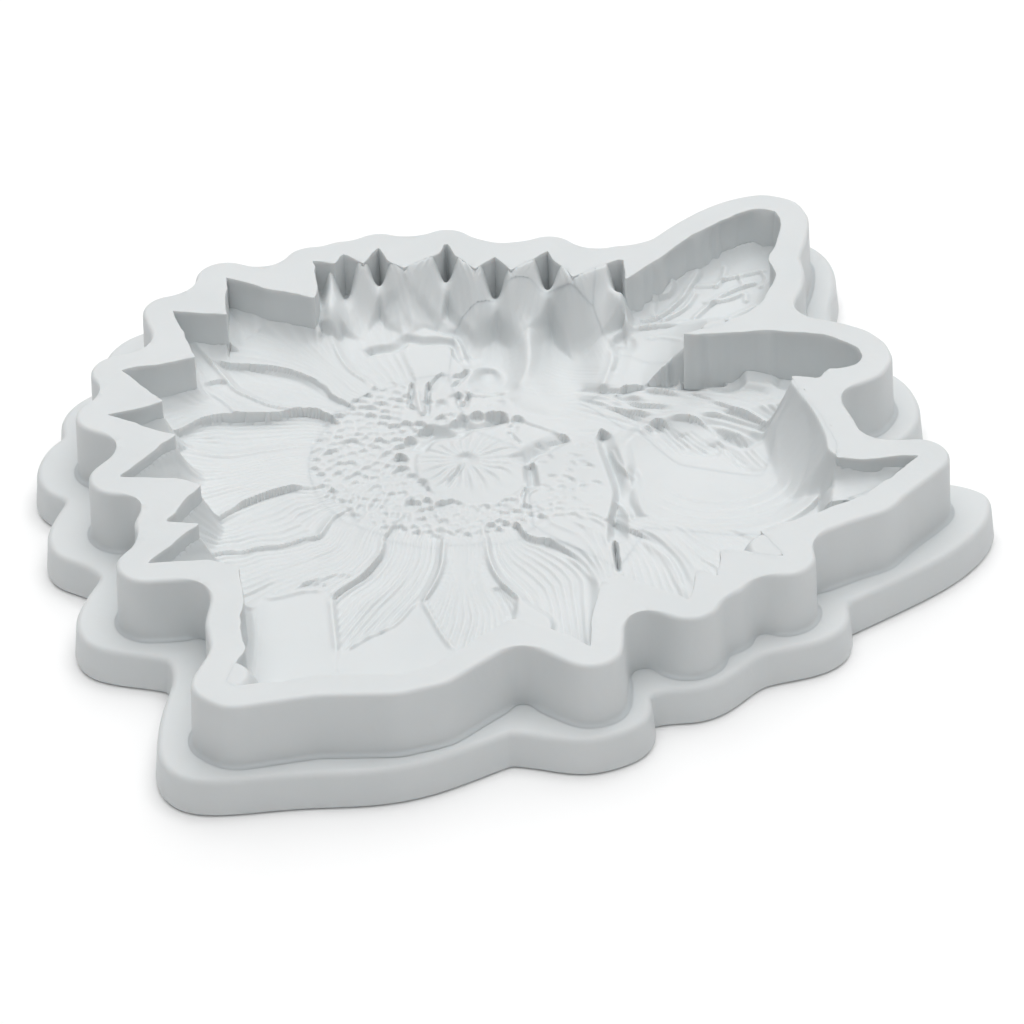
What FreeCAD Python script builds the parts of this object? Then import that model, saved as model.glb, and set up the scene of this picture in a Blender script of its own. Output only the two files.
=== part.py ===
import FreeCAD, Part
import os

# A one-piece silicone soap mould whose hollow is a sunflower with a bee resting on its right side.
# The frame: +Z up, the underside on Z = 0, +X towards the wing side, +Y towards the back, and the
# origin under the middle of the base flange. The casting is divided at its natural steps: the base
# flange, the rim wall that stands on it, and the beds of the relief at the bottom of the hollow.

Vector = FreeCAD.Vector

SIZES = {
    "rim_height": (16.0, "underside to the top of the rim"),
    "flange_thickness": (6.0, "thickness of the base flange"),
    "rim_width": (5.0, "width of the rim, cavity edge to outer edge"),
    "wall_blend": (2.5, "radius in the inward corners of the wall"),
    "flange_lean": (5.0, "lean of the flange's side in degrees, wider at the bottom"),
    "rim_round": (0.7, "rounding of the rim's outer edge"),
    "flange_round": (1.0, "rounding of the flange's upper edge"),
    "petal_floor": (8.0, "height of the petals' floor"),
    "disc_radius": (22.0, "radius of the seed disc"),
    "disc_sink": (1.6, "how far the seed disc's middle lies below its edge"),
    "disc_x": (-7.7, "middle of the seed disc"),
    "disc_y": (5.0, "middle of the seed disc"),
    "disc_cut_height": (60.0, "height of the tool that clears the seed disc's place, more than the mould's"),
    "upper_wing_floor": (8.3, "height of the upper wing's floor"),
    "lower_wing_floor": (7.4, "height of the lower wing's floor"),
}

VALUE = {name: size for name, (size, note) in SIZES.items()}

# The cavity's edge in plan, clockwise from the tip at the back left. The petals run straight from
# tip to notch; the wings and the bee's tail are smooth curves between corners.
BACK_PETALS = [
    (-42.9, 45.0), (-34.7, 40.5), (-29.0, 38.0), (-28.3, 41.5), (-29.4, 48.7), (-26.0, 47.7),
    (-24.6, 50.1), (-21.5, 47.5), (-19.2, 52.0), (-17.9, 48.5), (-15.2, 45.8), (-11.7, 48.5),
    (-9.9, 49.5), (-8.7, 52.5), (-7.5, 49.0), (-4.2, 44.8), (-1.1, 48.2), (1.3, 44.1),
    (4.8, 46.8), (7.2, 49.5), (8.3, 46.5), (10.8, 41.5), (18.5, 46.0), (18.9, 40.3),
]
UPPER_WING_BACK = [(18.9, 40.3), (27.3, 49.5), (33.3, 55.7), (37.3, 58.5), (41.3, 59.8)]
UPPER_WING_TIP = [(41.3, 59.8), (43.3, 58.7), (43.7, 55.5), (42.9, 50.5), (41.3, 44.5)]
UPPER_WING_FRONT = [(41.3, 44.5), (41.9, 39.5), (40.5, 35.0), (37.6, 30.3), (33.3, 27.5), (26.8, 24.3)]
LOWER_WING_BACK = [(26.8, 24.3), (30.3, 24.2), (38.3, 24.3), (45.3, 23.5), (49.8, 21.7)]
LOWER_WING_TIP = [(49.8, 21.7), (52.5, 19.5), (53.3, 16.1), (51.5, 13.8), (48.3, 13.5)]
LOWER_WING_FRONT = [(48.3, 13.5), (46.3, 11.5), (42.5, 11.8)]
TAIL = [(42.5, 11.8), (43.7, 7.0), (45.5, 2.0), (46.9, -3.5), (47.5, -9.9)]
RIGHT_PETALS = [
    (47.5, -9.9), (52.3, -10.5), (59.3, -10.1), (53.3, -16.8), (51.1, -19.7), (46.3, -21.8),
    (40.3, -25.2), (35.3, -27.5), (38.1, -33.8), (29.3, -31.5), (29.2, -35.5), (28.7, -38.0),
    (25.9, -36.0), (24.9, -39.5), (24.3, -43.3), (16.8, -37.8), (14.9, -36.8), (12.6, -38.1),
    (10.9, -44.5), (10.3, -53.3),
]
FRONT_LEAF = [
    (10.3, -53.3), (3.3, -47.5), (-0.2, -46.5), (-3.7, -49.2), (-8.2, -53.2), (-11.7, -56.5),
    (-16.7, -58.1), (-27.7, -57.8), (-38.2, -59.8), (-39.7, -58.5), (-37.0, -51.3),
    (-38.2, -44.5), (-37.6, -39.5), (-38.4, -31.7),
]
LEFT_PETALS = [
    (-38.4, -31.7), (-42.7, -29.7), (-51.3, -30.2), (-44.4, -21.1), (-49.2, -20.1), (-44.5, -11.3),
    (-48.7, -9.0), (-56.4, -8.4), (-48.7, 1.8), (-59.3, 7.8), (-51.0, 10.8), (-57.7, 19.5),
    (-46.7, 22.5), (-50.7, 35.8), (-42.3, 34.1), (-42.9, 45.0),
]
CHORD = 2.0

# The flange's edge in plan, clockwise from the notch on the left: one smooth stretch after another.
FLANGE = [
    [(-66.2, 0.2), (-69.0, 2.2), (-70.7, 5.3), (-71.0, 9.5), (-70.0, 13.8), (-67.6, 17.4)],
    [(-67.6, 17.4), (-68.2, 21.5), (-66.6, 26.0), (-61.5, 30.3)],
    [(-61.5, 30.3), (-62.8, 35.5), (-61.6, 41.0), (-58.0, 45.4), (-53.5, 47.0)],
    [(-53.5, 47.0), (-52.3, 51.0), (-48.5, 54.6), (-43.0, 55.2), (-38.6, 54.2)],
    [(-38.6, 54.2), (-35.0, 57.3), (-29.0, 58.8), (-19.5, 61.8), (-14.7, 61.0)],
    [(-14.7, 61.0), (-8.8, 62.2), (-3.5, 60.6), (1.0, 57.9), (7.5, 59.2), (12.5, 57.5), (16.5, 55.6)],
    [(16.5, 55.6), (20.5, 56.6), (26.0, 62.0), (33.0, 66.4), (40.0, 68.2), (46.5, 67.2), (51.0, 63.4),
     (53.0, 57.5), (52.6, 50.5), (51.3, 44.0), (51.5, 38.0), (50.8, 33.8)],
    [(50.8, 33.8), (56.0, 30.4), (60.5, 26.0), (62.7, 20.0), (62.4, 13.5), (59.5, 8.5), (55.4, 4.8)],
    [(55.4, 4.8), (55.8, 1.6), (58.2, -0.9), (63.2, -2.0), (67.8, -3.5), (70.6, -6.2), (71.0, -9.2),
     (69.6, -13.5), (66.5, -18.0), (61.5, -22.8), (56.0, -26.8), (51.5, -29.9), (48.0, -32.2)],
    [(48.0, -32.2), (48.1, -35.3), (46.8, -38.4), (43.6, -41.0), (39.0, -42.5), (35.0, -43.6)],
    [(35.0, -43.6), (32.3, -46.3), (29.2, -49.4), (25.0, -51.3), (21.2, -51.4), (19.0, -51.9)],
    [(19.0, -51.9), (19.2, -55.0), (17.7, -58.3), (14.0, -60.8), (9.0, -62.0), (4.0, -60.9), (-0.9, -59.6)],
    [(-0.9, -59.6), (-5.6, -62.2), (-12.0, -65.4), (-20.0, -67.2), (-30.0, -67.4), (-40.0, -68.2),
     (-46.0, -67.2), (-49.2, -63.6), (-50.1, -57.5), (-49.3, -49.0), (-48.5, -43.5), (-49.4, -40.1)],
    [(-49.4, -40.1), (-56.0, -38.3), (-61.0, -35.7), (-62.9, -31.0), (-62.3, -25.5), (-60.0, -19.4)],
    [(-60.0, -19.4), (-62.2, -16.8), (-66.4, -14.2), (-68.3, -10.0), (-67.8, -4.5), (-66.2, 0.2)],
]

# Plan borders between the beds. Where a border runs outside the cavity its place doesn't matter.
UPPER_WING_BORDER = [(13.8, 39.5), (18.9, 75.0), (60.0, 75.0), (60.0, 25.0), (26.8, 24.3), (17.3, 32.5)]
LOWER_WING_BORDER = [(26.8, 24.3), (60.0, 30.0), (60.0, 7.5), (40.3, 8.5), (37.3, -0.5), (25.3, 3.5),
                     (10.5, 20.5)]
BODY_BORDER = [(-7.7, 40.5), (4.3, 44.5), (13.8, 39.5), (17.3, 32.5), (26.8, 24.3), (10.5, 20.5),
               (25.3, 3.5), (37.3, -0.5), (40.3, 8.5), (60.0, 7.5), (60.0, -8.5), (46.3, -16.5),
               (36.3, -18.0), (19.3, -15.0), (15.1, -24.5), (3.3, -13.5), (2.3, 7.5), (-5.7, 13.5),
               (-8.7, 26.5)]

# The bee's hollows: middle x and y, and half-length in x, y and z, all in millimetres.
BEE_HOLLOWS = {
    "head_hollow": (0.3, 36.0, 5.5, 6.0, 4.0),
    "neck_hollow": (10.3, 35.5, 5.5, 6.5, 4.5),
    "thorax_hollow": (9.3, 22.5, 7.0, 6.0, 2.0),
    "strip_hollow": (16.3, -4.5, 2.5, 10.0, 3.0),
    "tail_hollow": (34.3, -4.5, 12.0, 9.0, 3.5),
}
# The petals that stand clear of the bee, by their tips, and the shape of each petal's hollow.
PETAL_TIPS = [
    (-42.9, 45.0), (-29.4, 48.7), (-19.2, 52.0), (-8.7, 52.5), (7.2, 49.5), (10.3, -53.3), (-8.2, -53.2),
    (-24.5, -48.0), (-51.3, -30.2), (-49.2, -20.1), (-56.4, -8.4), (-59.3, 7.8), (-57.7, 19.5),
    (-50.7, 35.8),
]
PETAL_OVERLAP = 2.0
PETAL_HALF_WIDTH = 5.0
PETAL_SINK = 1.0


def add_sizes(doc):
    sheet = doc.addObject("Spreadsheet::Sheet", "Sizes")
    for row, (name, (value, note)) in enumerate(SIZES.items(), start=1):
        sheet.set(f"A{row}", name)
        sheet.set(f"B{row}", str(value))
        sheet.setAlias(f"B{row}", name)
        sheet.set(f"C{row}", note)
    doc.recompute()


def corners(points):
    return [Vector(x, y, 0.0) for x, y in points]


def segments(vectors):
    return [Part.LineSegment(a, b).toShape() for a, b in zip(vectors, vectors[1:])]


def smooth_segments(points):
    """Chords of about CHORD along the smooth curve through the points."""
    ends = corners(points)
    curve = Part.BSplineCurve()
    curve.interpolate(ends)
    along = curve.discretize(int(curve.length() / CHORD) + 1)
    return segments([ends[0]] + along[1:-1] + [ends[-1]])


def cavity_wire():
    edges = segments(corners(BACK_PETALS))
    edges += smooth_segments(UPPER_WING_BACK)
    edges += smooth_segments(UPPER_WING_TIP)
    edges += smooth_segments(UPPER_WING_FRONT)
    edges += smooth_segments(LOWER_WING_BACK)
    edges += smooth_segments(LOWER_WING_TIP)
    edges += segments(corners(LOWER_WING_FRONT))
    edges += smooth_segments(TAIL)
    edges += segments(corners(RIGHT_PETALS))
    edges += segments(corners(FRONT_LEAF))
    edges += segments(corners(LEFT_PETALS))
    return Part.Wire(edges)


def flange_wire():
    return Part.Wire([edge for stretch in FLANGE for edge in smooth_segments(stretch)])


def outline(doc, name, wire):
    shape = doc.addObject("Part::Feature", name)
    shape.Shape = wire
    return shape


def border_wire(points):
    return Part.Wire(segments(corners(points + points[:1])))


def offset(doc, name, source, distance):
    """The outline moved outwards by the distance, an expression, with round corners."""
    moved = doc.addObject("Part::Offset2D", name)
    moved.Source = source
    moved.Mode = "Pipe"
    moved.Join = "Arc"
    moved.setExpression("Value", distance)
    return moved


def prism(doc, name, base, bottom, top, lean="0"):
    """A solid on the base outline between two heights; a lean draws its top in, in degrees."""
    block = doc.addObject("Part::Extrusion", name)
    block.Base = base
    block.DirMode = "Custom"
    block.Dir = Vector(0, 0, 1)
    block.Solid = True
    block.setExpression("LengthFwd", f"{top} - {bottom}")
    block.setExpression("TaperAngle", f"-{lean}")
    block.setExpression("Placement.Base.z", bottom)
    return block


def cutter(doc, name, base):
    """A tool on the base outline that reaches well below and above the mould."""
    return prism(doc, name, base, "-Sizes.rim_height", "2 * Sizes.rim_height")


def combine(doc, kind, name, base, tool):
    result = doc.addObject(f"Part::{kind}", name)
    result.Base = base
    result.Tool = tool
    return result


def rounded(doc, name, base, height, radius):
    """Rounds the outer edges of the base's top face, which lies at the given height."""
    doc.recompute()
    solid = base.Shape
    top = next(face for face in solid.Faces
               if face.BoundBox.ZLength < 1e-6 and abs(face.BoundBox.ZMax - height) < 1e-6)
    picked = [edge.hashCode() for edge in top.OuterWire.Edges]
    fillet = doc.addObject("Part::Fillet", name)
    fillet.Base = base
    fillet.Edges = [(number, radius, radius) for number, edge in enumerate(solid.Edges, start=1)
                    if edge.hashCode() in picked]
    return fillet


def fuse(doc, name, shapes):
    group = doc.addObject("Part::MultiFuse", name)
    group.Shapes = shapes
    return group


def ellipsoid(doc, name, x, y, half_x, half_y, half_z, height):
    """An ellipsoid whose middle is at the height, an expression."""
    ball = doc.addObject("Part::Ellipsoid", name)
    ball.Radius1 = half_z
    ball.Radius2 = half_x
    ball.Radius3 = half_y
    ball.Angle1 = -90
    ball.Angle2 = 90
    ball.Angle3 = 360
    ball.Placement.Base = Vector(x, y, 0)
    ball.setExpression("Placement.Base.z", height)
    return ball


def upright(doc, name, height):
    """A cylinder of the seed disc's radius on its axis, from Z = 0 to the height, an expression."""
    drum = doc.addObject("Part::Cylinder", name)
    drum.setExpression("Radius", "Sizes.disc_radius")
    drum.setExpression("Height", height)
    drum.setExpression("Placement.Base.x", "Sizes.disc_x")
    drum.setExpression("Placement.Base.y", "Sizes.disc_y")
    return drum


def petal_hollow(doc, number, tip):
    """A long shallow ellipsoid that runs from the seed disc's edge to the petal's tip."""
    disc_middle = Vector(VALUE["disc_x"], VALUE["disc_y"], 0)
    ray = Vector(tip[0], tip[1], 0) - disc_middle
    start = VALUE["disc_radius"] - PETAL_OVERLAP
    half_length = (ray.Length - start) / 2
    middle = disc_middle + ray.normalize() * (start + half_length)
    hollow = ellipsoid(doc, f"petal_hollow_{number}", middle.x, middle.y, half_length,
                       PETAL_HALF_WIDTH, PETAL_SINK, "Sizes.petal_floor")
    hollow.Placement.Rotation = FreeCAD.Rotation(Vector(1, 0, 0), ray)
    return hollow


def check(doc, parts):
    for item in doc.Objects:
        if {"Invalid", "Error"} & set(item.State):
            raise RuntimeError(f"{item.Name} did not build: {item.State}")
    for part in parts:
        if part.Shape.isNull() or not part.Shape.isValid() or len(part.Shape.Solids) != 1:
            raise RuntimeError(f"{part.Label} is not one valid solid")


def build():
    doc = FreeCAD.newDocument("soap_mould")
    add_sizes(doc)
    cavity = outline(doc, "cavity_outline", cavity_wire())
    wall_wide = offset(doc, "wall_outline_wide", cavity, "Sizes.rim_width + Sizes.wall_blend")
    wall = offset(doc, "wall_outline", wall_wide, "-Sizes.wall_blend")
    flange = outline(doc, "flange_outline", flange_wire())
    upper_wing_border = outline(doc, "upper_wing_border", border_wire(UPPER_WING_BORDER))
    lower_wing_border = outline(doc, "lower_wing_border", border_wire(LOWER_WING_BORDER))
    body_border = outline(doc, "body_border", border_wire(BODY_BORDER))

    flange_block = prism(doc, "flange_block", flange, "0", "Sizes.flange_thickness", "Sizes.flange_lean")
    flange_rounded = rounded(doc, "flange_rounded", flange_block, VALUE["flange_thickness"],
                             VALUE["flange_round"])
    wall_block = prism(doc, "wall_block", wall, "Sizes.flange_thickness", "Sizes.rim_height")
    wall_rounded = rounded(doc, "wall_rounded", wall_block, VALUE["rim_height"], VALUE["rim_round"])
    hollow = cutter(doc, "hollow", cavity)
    base_flange = combine(doc, "Cut", "base_flange", flange_rounded, hollow)
    rim_wall = combine(doc, "Cut", "rim_wall", wall_rounded, hollow)

    def region(name, border, height):
        """The part of the hollow inside a border, filled from the underside to the height."""
        filled = prism(doc, f"{name}_fill", cavity, "0", height)
        return combine(doc, "Common", name, filled, prism(doc, f"{name}_block", border, "0", height))

    upper_wing_bed = region("upper_wing_bed", upper_wing_border, "Sizes.upper_wing_floor")
    lower_wing_bed = region("lower_wing_bed", lower_wing_border, "Sizes.lower_wing_floor")

    bee_hollows = [ellipsoid(doc, name, *numbers, "Sizes.petal_floor")
                   for name, numbers in BEE_HOLLOWS.items()]
    bee_body_bed = combine(doc, "Cut", "bee_body_bed",
                           region("bee_body_fill", body_border, "Sizes.petal_floor"),
                           fuse(doc, "bee_hollows", bee_hollows))

    disc = upright(doc, "disc", "Sizes.petal_floor")
    disc_bowl = ellipsoid(doc, "disc_bowl", VALUE["disc_x"], VALUE["disc_y"], VALUE["disc_radius"],
                          VALUE["disc_radius"], VALUE["disc_sink"], "Sizes.petal_floor")
    bee_cut = cutter(doc, "bee_cut", body_border)
    wing_cuts = [cutter(doc, "upper_wing_cut", upper_wing_border),
                 cutter(doc, "lower_wing_cut", lower_wing_border)]
    seed_disc_bed = combine(doc, "Cut", "seed_disc_bed", disc,
                            fuse(doc, "disc_tools", [disc_bowl, bee_cut]))

    petal_hollows = [petal_hollow(doc, number, tip) for number, tip in enumerate(PETAL_TIPS, start=1)]
    disc_cut = upright(doc, "disc_cut", "Sizes.disc_cut_height")
    disc_cut.setExpression("Placement.Base.z", "-Sizes.disc_cut_height / 2")
    petal_fill = prism(doc, "petal_fill", cavity, "0", "Sizes.petal_floor")
    petal_bed = combine(doc, "Cut", "petal_bed", petal_fill,
                        fuse(doc, "petal_tools", petal_hollows + [disc_cut, bee_cut] + wing_cuts))
    doc.recompute()
    return doc, [base_flange, rim_wall, petal_bed, seed_disc_bed, bee_body_bed, upper_wing_bed,
                 lower_wing_bed]


doc, parts = build()
check(doc, parts)
os.makedirs("parts", exist_ok=True)
for part in parts:
    part.Shape.exportStep(f"parts/{part.Label}.step")
    print(part.Label, round(part.Shape.Volume / 1000, 2), "cm3")
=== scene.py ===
import math

import bpy
import numpy as np
from mathutils import Matrix, Vector
from mathutils.geometry import delaunay_2d_cdt


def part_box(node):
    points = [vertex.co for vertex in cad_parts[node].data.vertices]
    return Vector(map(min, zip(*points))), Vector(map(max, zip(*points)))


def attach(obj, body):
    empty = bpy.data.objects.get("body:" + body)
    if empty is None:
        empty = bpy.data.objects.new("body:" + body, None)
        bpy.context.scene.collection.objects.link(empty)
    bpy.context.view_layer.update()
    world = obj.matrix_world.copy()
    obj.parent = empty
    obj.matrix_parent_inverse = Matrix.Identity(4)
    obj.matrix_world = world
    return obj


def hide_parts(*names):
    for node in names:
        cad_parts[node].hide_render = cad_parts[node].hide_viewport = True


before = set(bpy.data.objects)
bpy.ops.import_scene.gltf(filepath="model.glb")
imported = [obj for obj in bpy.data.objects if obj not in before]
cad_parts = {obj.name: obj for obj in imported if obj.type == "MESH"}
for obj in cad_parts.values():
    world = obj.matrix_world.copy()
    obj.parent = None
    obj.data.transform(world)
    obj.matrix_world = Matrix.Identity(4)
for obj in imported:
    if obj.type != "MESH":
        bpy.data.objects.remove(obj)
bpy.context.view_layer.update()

# Everything below is worked out in millimetres and turned into metres when a mesh is made.
MM = 0.001
RNG = np.random.default_rng(7)

RIM_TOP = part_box("rim_wall")[1][2] / MM
WALL_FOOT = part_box("rim_wall")[0][2] / MM

GRID = 0.2            # spacing of the relief's grid
BRIM = 15.97          # as high as the relief may reach, just below the rim
OUTER_STEP, INNER_STEP, FLANGE_STEP = 0.5, 0.45, 0.6    # spacing of the points on the outlines


# ---------------------------------------------------------------- outlines, read from the CAD nodes

def node_triangles(name):
    """A node's corners in mm, welded, and its triangles."""
    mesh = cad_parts[name].data
    co = np.empty(len(mesh.vertices) * 3)
    mesh.vertices.foreach_get("co", co)
    corners, index = np.unique((co.reshape(-1, 3) / MM).round(3), axis=0, return_inverse=True)
    mesh.calc_loop_triangles()
    tri = np.empty(len(mesh.loop_triangles) * 3, dtype=int)
    mesh.loop_triangles.foreach_get("vertices", tri)
    return corners, index.ravel()[tri].reshape(-1, 3)


def level_loops(name, height):
    """The closed border loops of a node's flat face at a height, the longest first."""
    corners, tris = node_triangles(name)
    flat = tris[(abs(corners[tris][:, :, 2] - height) < 0.002).all(axis=1)]
    edges = {(a, b) for t in flat for a, b in ((t[0], t[1]), (t[1], t[2]), (t[2], t[0]))}
    follow = {a: b for a, b in edges if (b, a) not in edges}
    loops = []
    while follow:
        start, at = follow.popitem()
        loop = [start]
        while at != start:
            loop.append(at)
            at = follow.pop(at)
        loops.append(corners[loop][:, :2])
    loops.sort(key=lambda loop: -abs(area(loop)))
    return [loop if area(loop) > 0 else loop[::-1] for loop in loops]


def area(loop):
    nxt = np.roll(loop, -1, axis=0)
    return 0.5 * np.sum(loop[:, 0] * nxt[:, 1] - nxt[:, 0] * loop[:, 1])


def resample(loop, step):
    """Points at about the step along a closed loop."""
    closed = np.vstack([loop, loop[:1]])
    along = np.concatenate([[0], np.cumsum(np.linalg.norm(np.diff(closed, axis=0), axis=1))])
    wanted = np.linspace(0, along[-1], int(along[-1] / step), endpoint=False)
    return np.stack([np.interp(wanted, along, closed[:, k]) for k in (0, 1)], axis=1)


def smoothed(values, axis=0):
    return 0.5 * values + 0.25 * (np.roll(values, 1, axis) + np.roll(values, -1, axis))


def outward(loop):
    """Unit normals that point out of a counter-clockwise loop."""
    along = np.roll(loop, -1, axis=0) - np.roll(loop, 1, axis=0)
    along /= np.linalg.norm(along, axis=1)[:, None]
    return np.stack([along[:, 1], -along[:, 0]], axis=1)


def ease(t):
    t = np.clip(t, 0, 1)
    return t * t * (3 - 2 * t)


def wobble(count, spacing, wavelength, seed):
    """Smooth closed random noise, about -1 to 1, for points at a spacing along a loop."""
    random = np.random.default_rng(seed)
    knots = max(4, int(count * spacing / wavelength))
    values = random.uniform(-1, 1, knots)
    at = np.arange(count) * knots / count
    low = at.astype(int)
    t = ease(at - low)
    return values[low % knots] * (1 - t) + values[(low + 1) % knots] * t


def within(loop, x, y):
    """Which places lie inside a closed loop."""
    result = np.zeros(x.shape, dtype=bool)
    for a, b in zip(loop, np.roll(loop, -1, axis=0)):
        crosses = (a[1] > y) != (b[1] > y)
        at = a[0] + (y - a[1]) * (b[0] - a[0]) / (b[1] - a[1] + 1e-12)
        result ^= crosses & (x < at)
    return result


def bend(loop, reach):
    """Sine of the turn at each point, between the points a reach before and after; left is positive."""
    before = loop - np.roll(loop, reach, axis=0)
    after = np.roll(loop, -reach, axis=0) - loop
    return ((before[:, 0] * after[:, 1] - before[:, 1] * after[:, 0])
            / (np.linalg.norm(before, axis=1) * np.linalg.norm(after, axis=1) + 1e-9))


def turned(points, tris, up):
    """The triangles, each turned to face up or down in plan."""
    a, b, c = points[tris[:, 0]], points[tris[:, 1]], points[tris[:, 2]]
    facing = (b[:, 0] - a[:, 0]) * (c[:, 1] - a[:, 1]) - (b[:, 1] - a[:, 1]) * (c[:, 0] - a[:, 0])
    wrong = facing < 0 if up else facing > 0
    tris[wrong] = tris[wrong][:, ::-1]
    return tris


# ---------------------------------------------------------------- meshes

def make_piece(node, corners, faces):
    """A mesh piece in the frame that stands for a CAD node and rides on the one body."""
    name = "mould_" + node
    mesh = bpy.data.meshes.new(name)
    mesh.from_pydata((corners * MM).tolist(), [], faces, shade_flat=False)
    mesh.validate()
    piece = bpy.data.objects.new(name, mesh)
    bpy.context.collection.objects.link(piece)
    mesh.materials.append(SILICONE)
    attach(piece, "root")
    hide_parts(node)
    return piece


def ring_fill(outer, inner, step):
    """Flat triangles between two loops, with inner points so that they stay small."""
    low, high = outer.min(axis=0), outer.max(axis=0)
    xs, ys = np.meshgrid(np.arange(low[0], high[0], step), np.arange(low[1], high[1], step * 0.87))
    xs[1::2] += step / 2
    grid = np.stack([xs.ravel(), ys.ravel()], axis=1)
    grid = grid[within(outer, *grid.T) & ~within(inner, *grid.T)]
    borders = np.vstack([outer, inner])
    gap2 = np.array([((borders - place) ** 2).sum(axis=1).min() for place in grid])
    points = np.vstack([borders, grid[gap2 >= (0.45 * step) ** 2]])
    n_out, n_in = len(outer), len(inner)
    edges = [(k, (k + 1) % n_out) for k in range(n_out)]
    edges += [(n_out + k, n_out + (k + 1) % n_in) for k in range(n_in)]
    verts, _, tris, origin, _, _ = delaunay_2d_cdt([Vector(p) for p in points], edges, [], 0, 1e-5)
    added = [k for k, o in enumerate(origin) if not o]
    order = np.array([o[0] if o else -1 for o in origin])
    order[added] = len(points) + np.arange(len(added))
    if added:
        points = np.vstack([points, [verts[k][:2] for k in added]])
    tris = order[np.array(tris)]
    middle = points[tris].mean(axis=1)
    tris = tris[within(outer, *middle.T) & ~within(inner, *middle.T)]
    return points, turned(points, tris, up=True)


class Shell:
    """Collects corners and faces of one closed mesh."""

    def __init__(self):
        self.corners = []
        self.faces = []
        self.count = 0

    def add(self, xy, z):
        z = np.broadcast_to(z, (len(xy),))
        self.corners.append(np.column_stack([xy, z]))
        self.count += len(xy)
        return np.arange(self.count - len(xy), self.count)

    def strips(self, rings):
        """Quads from each ring to the next of the same length; seen from outside, the first is on top."""
        for upper, lower in zip(rings, rings[1:]):
            quads = np.stack([upper, lower, np.roll(lower, -1), np.roll(upper, -1)], axis=1)
            self.faces += quads.tolist()

    def cap(self, outer_ring, inner_ring, step, up, height):
        """Fills between two rings that exist already."""
        corners = np.vstack(self.corners)
        points, tris = ring_fill(corners[outer_ring][:, :2], corners[inner_ring][:, :2], step)
        n_edge = len(outer_ring) + len(inner_ring)
        extra = self.add(points[n_edge:], height(points[n_edge:]))
        tris = np.concatenate([outer_ring, inner_ring, extra])[tris]
        self.faces += (tris if up else tris[:, ::-1]).tolist()


# ---------------------------------------------------------------- material

def tune(node, **values):
    """Sets a node's sockets; an underscore stands for a space in a socket's name."""
    for name, value in values.items():
        node.inputs[name.replace("_", " ")].default_value = value


def silicone_material():
    mat = bpy.data.materials.new("silicone")
    mat.use_nodes = True
    nodes, links = mat.node_tree.nodes, mat.node_tree.links
    bsdf = nodes["Principled BSDF"]
    tune(bsdf, Subsurface_Weight=0.35, Subsurface_Radius=(1.0, 0.8, 0.7), Subsurface_Scale=0.0012, IOR=1.41)
    coords = nodes.new("ShaderNodeTexCoord")

    cloud = nodes.new("ShaderNodeTexNoise")
    tune(cloud, Scale=60.0, Detail=3.0)
    tint = nodes.new("ShaderNodeValToRGB")
    dark, light = tint.color_ramp.elements
    dark.position, dark.color = 0.3, (0.640, 0.665, 0.672, 1)
    light.position, light.color = 0.7, (0.672, 0.694, 0.700, 1)
    links.new(coords.outputs["Object"], cloud.inputs["Vector"])
    links.new(cloud.outputs["Fac"], tint.inputs["Fac"])
    links.new(tint.outputs["Color"], bsdf.inputs["Base Color"])

    gloss = nodes.new("ShaderNodeMapRange")
    tune(gloss, To_Min=0.46, To_Max=0.58)
    links.new(cloud.outputs["Fac"], gloss.inputs["Value"])
    links.new(gloss.outputs["Result"], bsdf.inputs["Roughness"])

    grain = nodes.new("ShaderNodeTexNoise")
    tune(grain, Scale=900.0, Detail=4.0)
    bump = nodes.new("ShaderNodeBump")
    tune(bump, Strength=0.12, Distance=0.0002)
    links.new(coords.outputs["Object"], grain.inputs["Vector"])
    links.new(grain.outputs["Fac"], bump.inputs["Height"])
    links.new(bump.outputs["Normal"], bsdf.inputs["Normal"])
    return mat


SILICONE = silicone_material()


# ---------------------------------------------------------------- relief of the hollow's floor
#
# The relief is drawn on a plan that leans with the height: a feature at height z sits
# LEAN * (z - FLOOR) further forward than its place on the plan.

FLOOR = 8.0
LEAN = 1.43
PLAN_X = np.arange(-64.0, 64.0 + GRID / 2, GRID)
PLAN_Y = np.arange(-70.0, 70.0 + GRID / 2, GRID)
PX, PY = np.meshgrid(PLAN_X, PLAN_Y)
Z = np.full(PX.shape, 8.4)
DISC_CENTRE = (-8.0, 6.3)
DISC_RADIUS = 22.0
STAR_CENTRE = (-6.4, 4.6)


def curve(points, step=0.7):
    """A smooth line through the points, as short chords."""
    p = np.asarray(points, dtype=float)
    p = np.vstack([2 * p[0] - p[1], p, 2 * p[-1] - p[-2]])
    rows = []
    for a, b, c, d in zip(p[:-3], p[1:-2], p[2:-1], p[3:]):
        count = max(2, int(np.linalg.norm(c - b) / step))
        t = (np.arange(count) / count)[:, None]
        rows.append(0.5 * (2 * b + (c - a) * t + (2 * a - 5 * b + 4 * c - d) * t**2
                           + (3 * b - a - 3 * c + d) * t**3))
    return np.vstack(rows + [p[-2:-1]])


def window(low, high):
    """The part of the plan between two corners."""
    rows = slice(max(0, int((low[1] - PLAN_Y[0]) / GRID)), int((high[1] - PLAN_Y[0]) / GRID) + 2)
    cols = slice(max(0, int((low[0] - PLAN_X[0]) / GRID)), int((high[0] - PLAN_X[0]) / GRID) + 2)
    return rows, cols


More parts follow.
